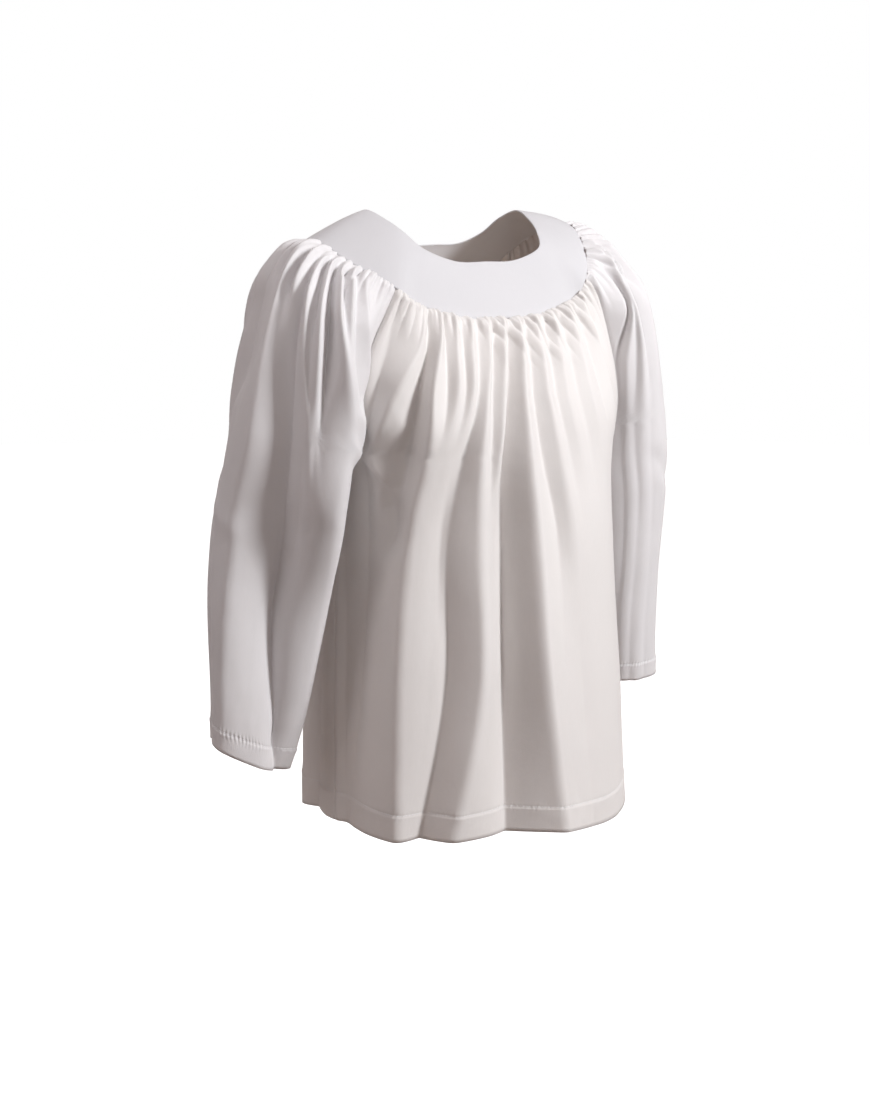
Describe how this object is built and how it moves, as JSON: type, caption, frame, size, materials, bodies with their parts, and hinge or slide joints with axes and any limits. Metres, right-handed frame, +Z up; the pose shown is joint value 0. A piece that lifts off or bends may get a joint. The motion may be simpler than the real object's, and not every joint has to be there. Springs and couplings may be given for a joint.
{
  "type": "surplice",
  "caption": "White cloth surplice with a plain round yoke, gathered body and sleeves and turned hems, held open as if worn, with the neck, cuffs and hem open.",
  "frame": {"origin": "midway between the two points where the neck edge crosses the wearer's shoulders, at their height", "axes": "+Z up along the wearer, +X towards the wearer's left, so the front faces -Y"},
  "size_m": [0.714, 0.3703, 0.7394],
  "materials": {
    "yoke_cloth": "smooth white poplin, lying flat",
    "body_cloth": "smooth white poplin, gathered",
    "sleeve_cloth": "smooth white poplin, gathered"
  },
  "bodies": {
    "root": {"yoke": "yoke_cloth", "body_front": "body_cloth", "body_back": "body_cloth", "sleeve_right": "sleeve_cloth", "sleeve_left": "sleeve_cloth"}
  },
  "joints": []
}
